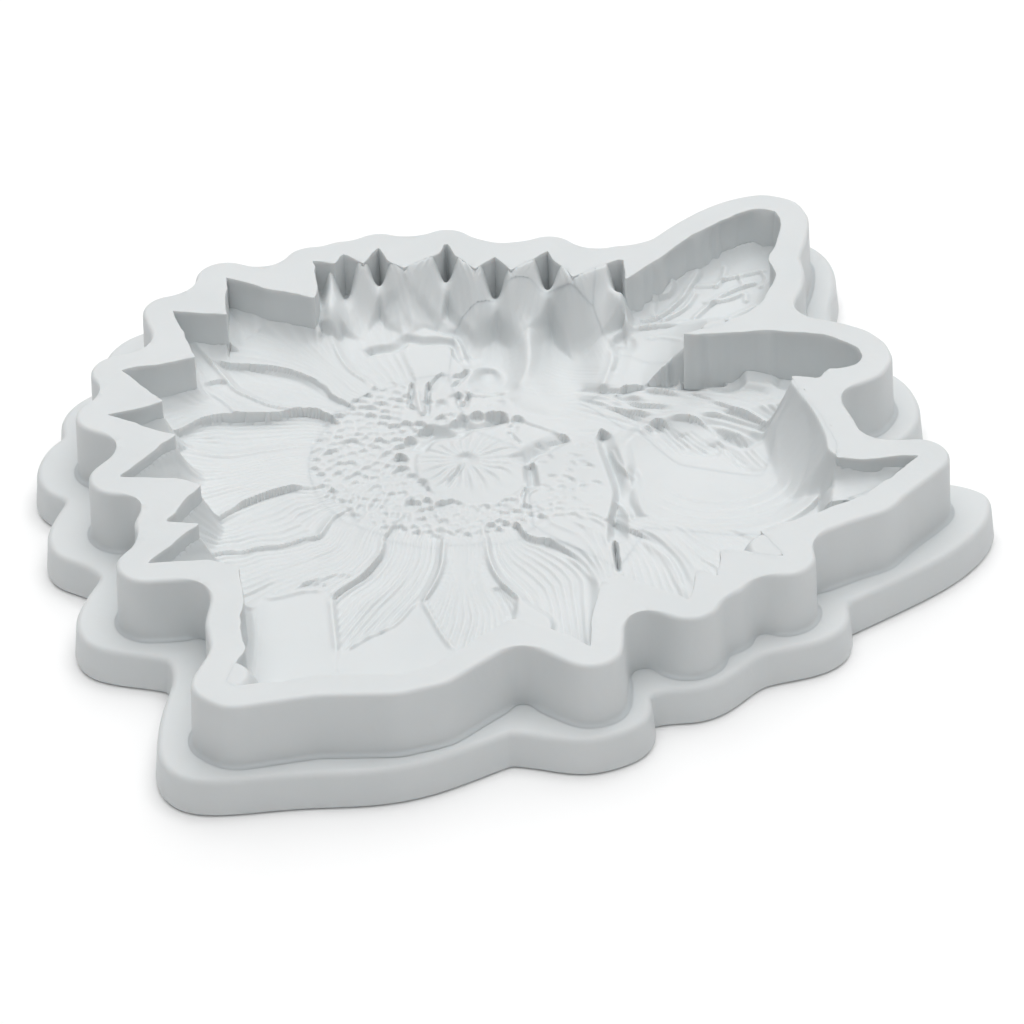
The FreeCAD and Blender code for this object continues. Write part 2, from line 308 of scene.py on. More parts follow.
def measured(path, here):
    """For the places in a window: distance to a path, plus on its left, share of its length, and length."""
    x, y = PX[here], PY[here]
    best = np.full(x.shape, 1e9)
    side = np.zeros(x.shape)
    run = np.zeros(x.shape)
    lengths = np.linalg.norm(np.diff(path, axis=0), axis=1)
    travelled = np.concatenate([[0], np.cumsum(lengths)])
    for a, b, length, before in zip(path[:-1], path[1:], lengths, travelled):
        ux, uy = (b - a) / length
        t = np.clip((x - a[0]) * ux + (y - a[1]) * uy, 0, length)
        dx, dy = x - a[0] - t * ux, y - a[1] - t * uy
        d = dx * dx + dy * dy
        closer = d < best
        best[closer] = d[closer]
        side[closer] = np.where(ux * dy - uy * dx >= 0, 1.0, -1.0)[closer]
        run[closer] = (before + t)[closer]
    return np.sqrt(best) * side, run / travelled[-1], travelled[-1]


def beside(points, reach):
    """The window round a curve through the points, and what measured() finds there."""
    path = curve(points)
    here = window(path.min(axis=0) - reach, path.max(axis=0) + reach)
    return here, *measured(path, here)


def region(points, soft):
    """The window round a closed patch, and how far inside its outline each place there is."""
    path = curve(list(points) + [points[0]])
    here = window(path.min(axis=0) - soft - 1, path.max(axis=0) + soft + 1)
    gap = np.abs(measured(path, here)[0])
    return here, np.where(within(path[:-1], PX[here], PY[here]), gap, -gap)


def lattice(u, v, seed):
    """Smooth random noise, -1 to 1, with a cell of one unit."""
    table = np.random.default_rng(seed).uniform(-1, 1, (64, 64))
    iu, iv = np.floor(u).astype(int), np.floor(v).astype(int)
    fu, fv = ease(u - iu), ease(v - iv)
    a = table[iu % 64, iv % 64] * (1 - fu) + table[(iu + 1) % 64, iv % 64] * fu
    b = table[iu % 64, (iv + 1) % 64] * (1 - fu) + table[(iu + 1) % 64, (iv + 1) % 64] * fu
    return a * (1 - fv) + b * fv


def veins(across, run, spacing, seed):
    """Fine lengthwise ridges, 0 to 1: across and run in mm."""
    bend = 0.35 * lattice(across / 3.0, run / 7.0, seed)
    u = across / spacing + bend
    strength = 0.65 + 0.35 * lattice(u * 0.9, run / 6.0, seed + 1)
    return strength * (1 - np.abs(np.sin(np.pi * u)) ** 0.8)


def rooted(points):
    """A petal's edge, led on to below the flower's middle."""
    first = np.array(points[0], dtype=float)
    inward = np.array(DISC_CENTRE) - first
    return [tuple(first + inward / np.linalg.norm(inward) * 5.0)] + list(points)


def trough(upper, lower, levels, up, low, vein, spacing, seed):
    """A petal between two edge lines, both from root to tip. levels: floor at root, middle and tip.
    up and low: how high the petal stands at each edge over its floor, and how wide that slope is.
    vein and spacing: how high its lengthwise ridges are, and how far apart."""
    upper, lower = curve(rooted(upper)), curve(rooted(lower))
    loop = np.vstack([upper, lower[::-1]])
    here = window(loop.min(axis=0) - 1, loop.max(axis=0) + 1)
    inside = within(loop, PX[here], PY[here])
    du, su, length = measured(upper, here)
    dl, sl, _ = measured(lower, here)
    du, dl = np.abs(du), np.abs(dl)
    share = du / (du + dl + 1e-6)
    s = su * (1 - share) + sl * share
    width = np.median((du + dl)[inside])
    z = np.interp(s, [0, 0.5, 1], levels)
    grown = ease((s * length - 5.0) / 7.0)
    z = z + up[0] * grown * np.clip(1 - du / up[1], 0, 1) ** 1.6
    z = z + low[0] * grown * np.clip(1 - dl / low[1], 0, 1) ** 1.6
    edge = ease(np.minimum(du, dl) / 0.8)
    z = z + 2.0 * vein * (veins(share * width, s * length, spacing, seed) - 0.6) * edge
    z = z + 0.12 * lattice(share * width / 2.5, s * length / 7, seed + 3)
    Z[here] = np.where(inside, z, Z[here])


def blend_in(points, soft, surface):
    """Replaces the relief inside a closed patch with a surface(x, y), easing over soft mm."""
    here, inside_by = region(points, soft)
    weight = ease(0.5 + inside_by / soft)
    Z[here] = Z[here] * (1 - weight) + surface(PX[here], PY[here]) * weight


def between(s, ends):
    """1 along a line, fading to 0 over the shares of its length at its ends."""
    return ease(s / ends[0]) * ease((1 - s) / ends[1])


def carve(points, depth, left, right, ends=(0.15, 0.15), power=1.4):
    """A groove: depth at its line, fading over left mm on its left and right mm on its right."""
    here, v, s, _ = beside(points, max(left, right) + 0.5)
    reach = np.where(v > 0, left, right)
    shape = np.clip(1 - np.abs(v) / reach, 0, 1) ** power
    Z[here] -= depth * shape * between(s, ends)


def ridge(points, height, left, right, ends=(0.15, 0.15), power=1.4):
    carve(points, -height, left, right, ends, power)


def bowl(centre, radii, depth, turn=0.0, power=1.0):
    """A smooth oval dip."""
    reach = max(radii)
    here = window(np.subtract(centre, reach), np.add(centre, reach))
    x, y = PX[here] - centre[0], PY[here] - centre[1]
    c, s = math.cos(math.radians(turn)), math.sin(math.radians(turn))
    r2 = ((c * x + s * y) / radii[0]) ** 2 + ((c * y - s * x) / radii[1]) ** 2
    Z[here] -= depth * ease(np.clip(1 - r2, 0, 1)) ** power


def hairs(points, half, amount, spacing, seed, ends=(0.2, 0.2)):
    """Fine lines that run along a path."""
    here, v, s, length = beside(points, half)
    fade = ease(1.5 * (1 - np.abs(v) / half)) * between(s, ends)
    Z[here] += amount * fade * (veins(v, s * length, spacing, seed) - 0.5)


def strands(points, half, amount, spacing, seed, ends=(0.15, 0.15)):
    """A band of overlapping strands: each rises gently to the back and drops behind its crest."""
    here, v, s, length = beside(points, half)
    run = s * length
    u = v / spacing + 0.55 * lattice(v / 4.0, run / 8.0, seed)
    u = u + 0.04 * run * lattice(v / 5.0, run / 15.0, seed + 1)
    part = u - np.floor(u)
    tall = 0.7 + 0.3 * lattice(np.floor(u) * 1.7, run / 6.0, seed + 2)
    lift = np.where(part < 0.82, (part / 0.82) ** 0.9, (1 - part) / 0.18)
    fade = ease(1.5 * (1 - np.abs(v) / half)) * between(s, ends)
    Z[here] += amount * fade * (tall * lift - 0.4)


# The edges between neighbouring petals, each from the seed disc outwards, from the back round by the left.
EDGES = [
    [(-20.5, 26), (-23.5, 29.5), (-25.3, 33.5), (-26.7, 40), (-26.9, 46), (-26.9, 54)],
    [(-26.2, 22), (-27.6, 25.5), (-30, 28.4), (-34, 30.8), (-38, 32), (-42, 32.7), (-45, 34.4), (-47, 39),
     (-48, 44)],
    [(-27, 19.4), (-31, 19.6), (-35.4, 20.7), (-38, 22.7), (-41, 25.4), (-42.8, 29), (-44.4, 32),
     (-46, 34.8), (-49, 38.2), (-52, 41)],
    [(-30, 18.3), (-36, 18.4), (-40.4, 18.9), (-41.8, 20.9), (-43.6, 23.3), (-45.6, 26), (-46.6, 30),
     (-49.5, 35), (-53, 38)],
    [(-29.5, 17.5), (-33, 18), (-38, 18.3), (-43, 18.5), (-46.6, 17.5), (-49.2, 15.2), (-52, 14), (-58, 14)],
    [(-30, 9.8), (-36, 8.9), (-41, 7.9), (-43.7, 8.2), (-46, 9.2), (-49, 10.3), (-53, 9), (-58, 5)],
    [(-29.2, -1.6), (-31, -1), (-34, -2), (-38, -4.3), (-41.6, -7), (-44, -9.5), (-49, -12), (-54, -14)],
    [(-24.6, -7.8), (-26, -9.2), (-27.2, -12), (-28, -13.9), (-29.8, -14.2), (-31, -14.9), (-33.5, -15.9),
     (-36.8, -16.2), (-39, -17.2), (-42, -17), (-46, -19), (-52, -24)],
    [(-18.2, -14.6), (-18.8, -18.5), (-20, -21.5), (-21.9, -24.7), (-25.5, -28.6), (-30, -36), (-36, -46)],
    [(-9.8, -15.4), (-9.9, -19), (-10.1, -22), (-11, -26), (-12.6, -30.2), (-16, -37), (-20, -46)],
    [(-3.3, -16.4), (-3.3, -19.5), (-2.8, -23), (-1.6, -26.5), (0.2, -29.6), (1.4, -31.6), (3, -38),
     (4, -50)],
    [(2.4, -16.2), (5, -17.5), (8.4, -20.3), (10.8, -23.8), (12.2, -27.4), (12.3, -31), (11.8, -40),
     (12, -56)],
    [(14.4, -13.5), (15.1, -20), (15.2, -26), (16, -42)],
    [(16.4, -14.6), (19, -16.8), (21.6, -20), (23.4, -24.2), (24.2, -28), (25, -32), (26, -46)],
    [(22.5, -14.5), (25, -19), (27.4, -23), (29.6, -26.5), (31, -40)],
    [(29, -13.6), (33.5, -17), (36.8, -20.5), (40, -28), (42, -36)],
]
# The petal from each edge to the next: levels, up, low, vein and spacing, as trough() takes them.
PETALS = [
    ((8.5, 8.9, 9.3), (0, 1), (-0.1, 2), 0.14, 1.6),
    ((7.7, 7.6, 8.4), (1.3, 2.3), (1, 0.8), 0.16, 1.3),
    ((8.6, 8.7, 9), (0.25, 0.9), (0.3, 0.8), 0.10, 1.6),
    ((8.6, 8.7, 9.4), (0.2, 0.8), (0, 1), 0.16, 1.3),
    ((7.2, 7, 8.2), (1.9, 3.1), (0.5, 2.5), 0.26, 0.95),
    ((7.8, 8.1, 9.2), (0.2, 0.8), (0.3, 2.5), 0.26, 1),
    ((7.6, 7.5, 8.6), (1.2, 1.7), (0.9, 0.7), 0.30, 1.1),
    ((8.1, 8, 8.4), (0.3, 0.8), (0.5, 0.6), 0.34, 1.15),
    ((7.5, 7.3, 7.6), (0.7, 1), (0.9, 0.9), 0.36, 1),
    ((8, 7.9, 8), (0.2, 0.6), (0.3, 0.6), 0.34, 0.85),
    ((7.3, 7.2, 7.6), (1, 1.6), (1.1, 2.2), 0.32, 1.05),
    ((8.3, 8.3, 8.4), (0, 1), (0, 1), 0.20, 1.5),
    ((7.8, 7.7, 7.9), (0.6, 1.4), (0.9, 2), 0.22, 1.2),
    ((8.4, 8.4, 8.6), (0, 1), (-0.2, 1.2), 0.16, 1.5),
    ((8.2, 8.3, 8.6), (0.3, 0.8), (0, 1), 0.16, 1.5),
]
for k, shape in enumerate(PETALS):
    trough(EDGES[k], EDGES[k + 1], *shape, seed=20 + 11 * k)
for k in (0, 2, 7, 8, 9, 10):
    ridge(EDGES[k][:-2], 0.45, 0.4, 0.5, ends=(0.1, 0.05))
bowl((-44.2, 26.8), (2, 0.9), 0.7, turn=10)
bowl((-24, -9.8), (2.2, 2.6), 0.6, turn=30)
bowl((-28.5, -26.6), (2.6, 0.9), 0.35, turn=5)
ridge([(-31, -25.6), (-28, -24.4), (-24.5, -23.2), (-22.6, -24.4)], 0.45, 0.5, 1)

# Petals along the back wall: each a dish with a fan of fine ridges that spreads from its tip.
BACK_TIPS = [(-24.6, 60.5), (-19.2, 63), (-8.7, 63.5), (-1.1, 59.5), (7.2, 60.5), (16.5, 57)]
BACK_BORDERS = [-27, -16.8, -14.2, -4, 1.4, 10.6, 19.5]


def back_petals():
    here = window((-28, 38), (20, 66))
    x, y = PX[here], PY[here]
    fan = np.full(x.shape, 9.0)
    for k, (tip, left, right) in enumerate(zip(BACK_TIPS, BACK_BORDERS, BACK_BORDERS[1:])):
        across = (2 * x - left - right) / (right - left)
        away = np.arctan2(x - tip[0], tip[1] + 1.5 - y)
        lines = veins(away * 9, y, 0.8, 200 + 7 * k) * ease((y - 40) / 4)
        dish = 8.2 + 0.9 * np.abs(across) ** 2.2 + 0.35 * (lines - 0.5)
        fan = np.where((x >= left) & (x < right), dish, fan)
    weight = ease((y - 39.5) / 2.5) * ease((x + 27.2) / 0.6) * ease((20 - x) / 1.5)
    Z[here] = Z[here] * (1 - weight) + fan * weight


back_petals()
trough(EDGES[0], [(-14, 27), (-14.8, 33), (-15.5, 40), (-16.8, 46), (-17, 54)],
       (8, 8, 8.4), (0.9, 1), (0.5, 3), 0.12, 1.6, seed=185)


def scatter(count, xs, ys, wide, tall, deep):
    """Small dips at random places, with random sizes and depths."""
    for _ in range(count):
        at = (RNG.uniform(*xs), RNG.uniform(*ys))
        bowl(at, (RNG.uniform(*wide), RNG.uniform(*tall)), RNG.uniform(*deep), power=0.9)


def seed_disc():
    """The flower's middle: a shallow bowl with small pits in spirals."""
    here = window(np.subtract(DISC_CENTRE, 24), np.add(DISC_CENTRE, 24))
    r = np.hypot(PX[here] - DISC_CENTRE[0], PY[here] - DISC_CENTRE[1])
    z = 6.9 + 1.2 * (r / DISC_RADIUS) ** 2 + 0.35 * lattice(PX[here] / 4, PY[here] / 4, 90)
    edge = ease((r - 18.6) / 3.6)
    Z[here] = z * (1 - edge) + Z[here] * edge

    golden = math.pi * (3 - math.sqrt(5))
    pitch = 0.98
    for k in range(int(((DISC_RADIUS - 0.4) / pitch) ** 2)):
        ring = pitch * math.sqrt(k + 0.5)
        turn = k * golden
        jitter = 0.22 * RNG.standard_normal(2)
        x = -7.8 + ring * math.cos(turn) + jitter[0]
        y = 5.9 + ring * math.sin(turn) + jitter[1]
        size = np.interp(ring, [9, 13, 21.4], [1.25, 1.1, 0.85]) * RNG.uniform(0.85, 1.15)
        depth = 0.46 * size * RNG.uniform(0.6, 1.2)
        under_star = ring < 9.0
        under_bee = (x > 1.5 and y > -8) or (x > -15.2 and y > 15.5)
        if not under_star and not under_bee:
            bowl((x, y), (size * 1.05, size * 0.85), depth, turn=math.degrees(turn) + 25, power=0.9)
    for _ in range(90):
        turn = math.radians(RNG.uniform(205, 335))
        ring = RNG.uniform(17.5, 21.6)
        at = (DISC_CENTRE[0] + ring * math.cos(turn), DISC_CENTRE[1] + ring * math.sin(turn))
        bowl(at, (RNG.uniform(0.4, 0.7), RNG.uniform(0.4, 0.7)), RNG.uniform(0.12, 0.3), power=0.9)


STAR_PLATE = [(-5.6, 12.4), (-1.5, 12.6), (0.8, 11.6), (2.4, 6.5), (2.8, 1.1), (2, -3.5), (-1.5, -6.4),
              (-5, -7.2), (-8.8, -6.2), (-12, -3), (-13.8, 2.1), (-13.1, 7.3), (-9.5, 9.4)]


def star():
    """The star of creases on its own raised, many-sided plate, with lumps round it."""
    blend_in(STAR_PLATE, 0.5, lambda x, y: 7.6 - 0.006 * ((x + 6.2) ** 2 + (y - 4.4) ** 2))
    here, inside_by = region(STAR_PLATE, 0.5)
    x, y = PX[here] - STAR_CENTRE[0], PY[here] - STAR_CENTRE[1]
    angle = np.arctan2(y, x)
    out = np.hypot(x, y)
    rays = np.abs(np.sin(angle * 10.5 + 0.9 * lattice(out / 3, angle * 2, 91))) ** 0.7
    strength = 0.75 + 0.25 * lattice(angle * 4, out / 9, 92)
    fade = ease(inside_by / 0.8) * ease(out / 1.5) * ease((11 - out) / 6)
    Z[here] += 0.62 * strength * (rays - 0.6) * fade - 0.8 * ease(1 - out / 2.4)
    carve([(-6.6, 4.2), (-7.2, 2), (-8.6, -1), (-9.6, -3.4)], 1.1, 0.5, 0.5, ends=(0.2, 0.3))
    scatter(13, (-17.5, 1.5), (-9.4, -6.4), (1, 1.6), (0.9, 1.3), (0.35, 0.65))
    for _ in range(12):
        turn = math.radians(RNG.uniform(95, 235))
        at = (STAR_CENTRE[0] + 9.6 * math.cos(turn), STAR_CENTRE[1] + 8.6 * math.sin(turn))
        bowl(at, (RNG.uniform(1, 1.5), RNG.uniform(0.8, 1.2)), RNG.uniform(0.3, 0.6), power=0.9)


seed_disc()
star()

# --- two smooth leaves at the front and a small one between the front petals
blend_in([(-37.6, -62), (-39.5, -45), (-38, -36), (-36, -29), (-31, -27.4), (-27, -27), (-25.6, -29.5),
          (-25.2, -35), (-24.7, -42.6), (-25.5, -50), (-27, -62)], 0.7,
         lambda x, y: 7.5 + 0.010 * (x + 31) ** 2 + 0.006 * (y + 30))
ridge([(-36, -28.8), (-33, -28.2), (-29.5, -27), (-26.5, -27.2)], 0.5, 0.7, 1.2)
ridge([(-26, -28.5), (-25.4, -35), (-24.8, -42.4)], 0.45, 0.5, 0.9)
carve([(-37.3, -30), (-36.6, -38), (-37, -52)], 0.5, 0.5, 1.6)
blend_in([(-24.7, -42.6), (-21, -39.2), (-17, -36.2), (-14.6, -32.2), (-13.2, -30.2), (-12, -33),
          (-10.4, -38), (-8, -43), (-4, -52), (-12, -60), (-26, -60), (-25.4, -50)], 0.6,
         lambda x, y: 7.3 + 0.007 * (x + 17) ** 2 + 0.01 * (y + 31))
ridge([(-24.6, -42.4), (-21, -39), (-17, -36), (-14.6, -32), (-13.2, -30.2)], 0.6, 0.45, 0.8)
ridge([(-13.2, -30.2), (-12, -33), (-10.2, -38.5), (-8.2, -43)], 0.5, 0.4, 0.9)
blend_in([(0.6, -30.7), (3.2, -33.4), (5.5, -37), (4, -44), (-1, -44), (0.1, -35)], 0.5,
         lambda x, y: 8.3 - 0.03 * (y + 31))
carve([(-3, -28), (-1.6, -31.5), (-0.4, -36)], 0.7, 1.9, 0.4)

# --- the bee's back: a soft general form before any detail
blend_in([(-7, 33), (-4, 40), (2, 43.5), (10, 44.5), (16, 42), (20, 38), (25, 33), (26, 26), (30, 20),
          (24, 14), (19, 10), (14, 8), (7, 12), (1, 17), (-4, 22), (-7, 27)], 4,
         lambda x, y: 7.8 + 0.05 * (y - 25))

# --- the tail's bowl
TAIL_CENTRE = (31, 0)


def tail_surface(x, y):
    dx, dy = (x - TAIL_CENTRE[0]) / 16.5, (y - TAIL_CENTRE[1]) / 17.0
    r = np.hypot(dx, dy)
    return 6.3 + 2.6 * r**2.6 + 1.3 * ease((x - 38) / 9)


blend_in([(17.5, 8), (18.5, -3), (20.5, -12), (28, -15.5), (37, -15), (42, -12.5), (46, -7), (48.5, 0),
          (48, 8), (45, 14.5), (40, 17), (30, 14), (22, 14)], 1.6, tail_surface)

# --- the right petal's shallow floor
blend_in([(47, -2), (62, -2), (62, -8), (54, -12), (49, -14), (45.5, -12.5)], 1.6,
         lambda x, y: 12.2 + 0.25 * lattice(x / 1.6, y / 1.2, 95))

# --- the lower wing's pocket, deep behind the body
POCKET_FLOOR = 5.6
blend_in([(21.8, 22.4), (24.8, 25), (27.8, 26), (48, 26), (57, 26), (57, 22), (48, 20.5), (42.2, 20.4),
          (40.2, 22.4), (36.8, 23.6), (35.5, 21.4), (33.5, 20.2), (31, 21.4), (28, 20.6)], 0.7,
         lambda x, y: POCKET_FLOOR)

# --- the upper wing's floor
blend_in([(16.5, 41.5), (20, 46), (24, 52), (30, 60), (42, 62), (44, 52), (40, 44), (34, 40.3), (24, 39.3)],
         1.2, lambda x, y: 8.2 + 0.01 * (x - 30) + 0.02 * (y - 48))


# --- the bee's two big eye hollows, with fine hairs down their back walls
def hollow(centre, radii, depth):
    """A hollow with a steep back wall that runs out gently to the front."""
    reach = max(radii) * 2.4
    here = window(np.subtract(centre, reach), np.add(centre, reach))
    x, y = PX[here] - centre[0], PY[here] - centre[1]
    out = np.hypot(x / radii[0], y / (radii[1] * np.where(y < 0, 2.1, 1)))
    Z[here] -= depth * ease(np.clip(1 - out, 0, 1) * 1.25)


hollow((-1.6, 33.5), (5.6, 9), 2.6)
hollow((9.2, 34.5), (6.4, 10), 3)
for k, x in enumerate(np.arange(-5.5, 3.5, 1.2)):
    hairs([(x * 0.9 - 0.2, 43), (x, 36), (x * 0.9 - 0.5, 28)], 1, 0.14, 0.55, 400 + k)
for k, x in enumerate(np.arange(5.2, 16, 1.2)):
    hairs([(x, 44), (x + 0.1, 37), (10 + (x - 10) * 1.5, 28)], 1, 0.16, 0.55, 430 + k)
hairs([(5, 29), (9.5, 26.5), (15, 25.5)], 3.2, 0.22, 0.8, 460)
hairs([(2, 23.5), (8, 21.8), (14, 22.5)], 2.6, 0.20, 0.9, 461)
scatter(16, (-12.5, -1), (14.5, 22.5), (0.8, 1.5), (0.7, 1.2), (0.15, 0.4))
ridge([(3.6, 42), (3.9, 37), (3.8, 31), (2.5, 26), (1.2, 22)], 0.55, 1.8, 1.8)

# --- eye with its ring
bowl((-2.8, 26.3), (2, 2.6), 0.8)
ridge([(-6.2, 24), (-4.8, 28.6), (-2, 29.4), (-0.4, 26.5), (-0.8, 23.5)], 0.35, 0.7, 1)
ridge([(-6.3, 23.5), (-5, 21.8), (-2, 21.4), (0.6, 22.4)], 0.5, 1.2, 0.5)

# --- the bee's feelers: two bent grooves with a soft back and a crisp front lip
carve([(-19, 42), (-15.8, 42.2), (-14.8, 43), (-12.5, 41.4), (-9.6, 39), (-7.6, 38.2), (-6.6, 36),
       (-5.8, 32), (-5, 29.5)], 1.7, 3, 0.35, ends=(0.04, 0.1), power=1.2)
carve([(-21.4, 33), (-19.6, 34), (-17.5, 34.2), (-15.6, 35.4), (-14.8, 36.8), (-13, 36), (-9, 35.8),
       (-8, 34.4), (-7.4, 31.5), (-5.6, 29.6)], 1.5, 2.4, 0.35, ends=(0.04, 0.1), power=1.2)
carve([(-8.2, 26.8), (-6.8, 26.6), (-5.4, 28.6)], 0.6, 0.5, 0.9)

# --- slits and claws on the flower's middle
carve([(-14.4, 25.5), (-14.5, 22), (-14.9, 19), (-13.6, 17.8)], 1.4, 0.5, 0.35)
carve([(-11.8, 25), (-12, 21), (-12.1, 17), (-12.8, 16.6)], 1.5, 0.5, 0.35)
carve([(-9.5, 28), (-11, 25.5), (-11.8, 22.5)], 0.6, 1.2, 0.3)
carve([(-5.6, 28), (-6.8, 25.6), (-8.2, 23.6)], 0.8, 0.4, 0.7)
carve([(-7.2, 22), (-7.4, 19.5), (-6.8, 18.4), (-6, 19.6), (-5.7, 21.5)], 0.9, 0.8, 0.5)
ridge([(-13.6, 24), (-13.2, 19), (-12.6, 16.5)], 0.5, 0.6, 0.6)

# --- the front leg's groove, grey behind its crisp lip
carve([(-12.6, 6.2), (-11.8, 8.6), (-10.4, 10), (-7, 10.2), (-5.6, 12), (-2.6, 12.8), (0.4, 14.4)],
      2.2, 4.4, 0.35, ends=(0.05, 0.1), power=1.2)
ridge([(-4.5, 19.5), (-6.5, 17.5), (-8.5, 15.5)], 0.3, 0.8, 0.8)
carve([(0.2, 11.5), (1, 9.5), (2, 8)], 0.7, 0.3, 0.9)

# --- long smooth folds of the body between the head and the lower wing
carve([(7.5, 19.4), (11, 18.9), (13.6, 17.2), (16.5, 15.6), (19.6, 12.6), (21.2, 10), (22.4, 8.3)],
      1.1, 3.4, 0.4, ends=(0.2, 0.1), power=1.3)
carve([(9.5, 21.8), (13.5, 21), (16.5, 19.6), (17.8, 18), (20.5, 16.2), (25, 14.5)], 1.2, 3, 0.4,
      power=1.3)
carve([(16.6, 19.8), (19.5, 21.4), (23.5, 20.7), (28, 19.5), (31.5, 17.2), (34, 15.5)],
      1, 0.6, 2.8, ends=(0.1, 0.15), power=1.2)
ridge([(17.5, 19.6), (21.8, 21.4), (26.3, 20.1), (29.5, 18.3), (33.6, 16.4), (35.9, 14.9), (37.9, 12.6),
       (40.1, 9.9)], 0.8, 0.5, 1.8, ends=(0.1, 0.15))
ridge([(12.6, 19.4), (15.6, 17.6), (18.5, 16.1), (22.4, 15.8), (26, 14.5), (28.6, 13.3), (30.3, 10.5)],
      0.8, 0.5, 1.8, ends=(0.2, 0.15))
carve([(30, 21.6), (31.5, 20.6), (33.5, 20), (36, 20.4), (38, 19.8), (39.6, 18.9)], 1, 2.2, 0.4, power=1.2)
carve([(36.4, 24), (37.5, 23.2), (40, 22.6), (41.6, 21.2), (42, 20.4)], 1.2, 2.6, 0.4, power=1.2)
carve([(0, 21), (2, 17.5), (5.5, 15.6), (10, 15)], 0.35, 2.5, 0.8)
carve([(0.5, 15.5), (3.5, 12.8), (7, 11.2), (12, 10.6), (16, 10.4)], 0.5, 0.7, 3)
ridge([(4.6, 12.4), (8, 10.9), (13, 10.4), (17, 10.6)], 0.4, 0.7, 0.9)
strands([(12, 19.8), (20, 18.4), (27, 16.6), (33.5, 13.2), (38.5, 9), (41, 6.5)], 4.6, 0.55, 1.7, 510)
strands([(9, 18.5), (16, 15), (21.5, 10.6), (25, 6.5), (27, 3.5)], 3.4, 0.5, 1.4, 520)
strands([(27, 21.4), (33, 19.6), (38.5, 17.4), (42, 13.5)], 2.6, 0.45, 1.2, 530)

# --- wing root behind the body
ROOT_X = (20.6, 25.5, 31.0)
ROOT_Y = (22.0, 30.0, 37.2)
ROOT_Z = (7.8, 10.3, 15.8)


def wing_root(x, y):
    """A pad that climbs to the right; its front edge drops straight into the lower wing's pocket."""
    edge_y = np.interp(x, ROOT_X, ROOT_Y)
    edge_z = np.interp(x, ROOT_X, ROOT_Z)
    pad = FLOOR + (edge_z - FLOOR) * np.clip(1 - (y - edge_y) / 9, 0, 1) ** 1.2
    wall = np.maximum(edge_z - 0.62 * (edge_y - y), POCKET_FLOOR)
    return np.where(y > edge_y, pad, wall)


blend_in([(20.2, 21.8), (18.4, 23), (17, 28), (16.5, 33), (18.5, 37.8), (22, 38.8), (28, 39.4), (34, 40.2),
          (34, 36), (34, 22.8), (28, 22.6), (24, 22.4)], 1.2, wing_root)
ridge([(16.2, 41.2), (17.2, 41.7), (19, 41.6), (20.3, 42.8)], 0.9, 0.8, 1.2)
ridge([(16.8, 35.5), (18, 37.6), (20.6, 38.8), (25, 39.6), (31, 40.1), (36, 40.2)], 0.9, 0.6, 1)
ridge([(21.5, 35.6), (24, 36), (26.2, 35.2), (27.6, 34.2)], 0.4, 0.6, 0.9)
bowl((18.2, 34), (2.4, 3.4), 0.9)
carve([(16.4, 26), (17.4, 30), (17.6, 34)], 0.5, 0.8, 2)
ridge([(14.2, 21.5), (15, 24.5), (16.2, 29.5), (16.4, 33.5)], 0.5, 0.9, 1.2)

# --- veins of the upper wing
WING_VEINS = [
    ([(20, 42.5), (21.5, 45), (23.6, 45.9), (26, 48), (26.5, 51.5)], 0.9),
    ([(20.8, 40.6), (24, 42), (27.5, 46.6), (29, 50), (31, 54)], 0.9),
    ([(24.2, 40.4), (27, 43), (28.6, 45), (30, 48.5)], 0.7),
    ([(29, 40.5), (31.6, 44.4), (33.5, 47), (37, 49.6), (40, 51)], 0.7),
    ([(31, 45.4), (35, 46.3), (38, 48.4)], 0.6),
    ([(34, 52), (38, 53.3), (41.5, 54.5)], 0.6),
    ([(33, 49.5), (34.6, 53), (35, 56)], 0.6),
    ([(37.6, 45), (37.8, 47.6)], 0.5),
    ([(37.6, 50), (37, 53)], 0.5),
    ([(23.6, 45.6), (23.4, 42)], 0.5),
    ([(34.5, 40.8), (37, 42.4), (39.5, 44.2)], 0.6),
    ([(30, 50.2), (33.4, 50.4)], 0.5),
    ([(40, 49), (41.2, 51.5), (40.6, 54)], 0.5),
]
for line, height in WING_VEINS:
    ridge(line, 1.1 * height, 0.35, 0.9, ends=(0.05, 0.05), power=1.1)

# --- the tail: rings, its raised right band and the fringe over it
for k, radius in enumerate((9.5, 11.5, 13.4, 15)):
    turn = np.radians(np.linspace(195 + 6 * k, 350, 9))
    line = np.stack([radius * np.cos(turn), 0.98 * radius * np.sin(turn)], axis=1)
    carve(line + TAIL_CENTRE, 0.30, 0.5, 1.6, ends=(0.3, 0.2))
carve([(43.6, 8), (44.6, 0), (42.5, -7), (39, -11.5), (33, -14)], 0.5, 1, 2.6)
carve([(20.7, 13.6), (23.9, 7.7), (25.8, 4.4), (28.4, 3.2), (31.1, 3.3), (31.7, 4.9), (32.9, 4),
       (34.8, -0.8), (38.2, -1.3)], 0.8, 3.6, 0.4, ends=(0.15, 0.1), power=1.2)
carve([(30.8, 9.9), (33, 6.6), (35.3, 4.9), (37.5, 6.4), (40, 8.9), (41.7, 10.9)], 0.9, 2.8, 0.6,
      ends=(0.2, 0.2), power=1.2)
FRINGE = [
    ([(22.5, 12.4), (24.6, 8.4), (26.8, 4.6)], 1.7, 0.42, 0.90),
    ([(26.2, 9.4), (28.2, 6.4), (30.4, 3.8)], 1.9, 0.45, 0.95),
    ([(30.6, 6.6), (32.6, 3.4), (35.2, -0.2)], 1.8, 0.45, 0.90),
    ([(33.6, 8.8), (35.8, 4), (38, -0.6)], 1.6, 0.40, 0.90),
    ([(27.6, 14), (30, 10.8), (32, 8)], 1.6, 0.42, 0.90),
]
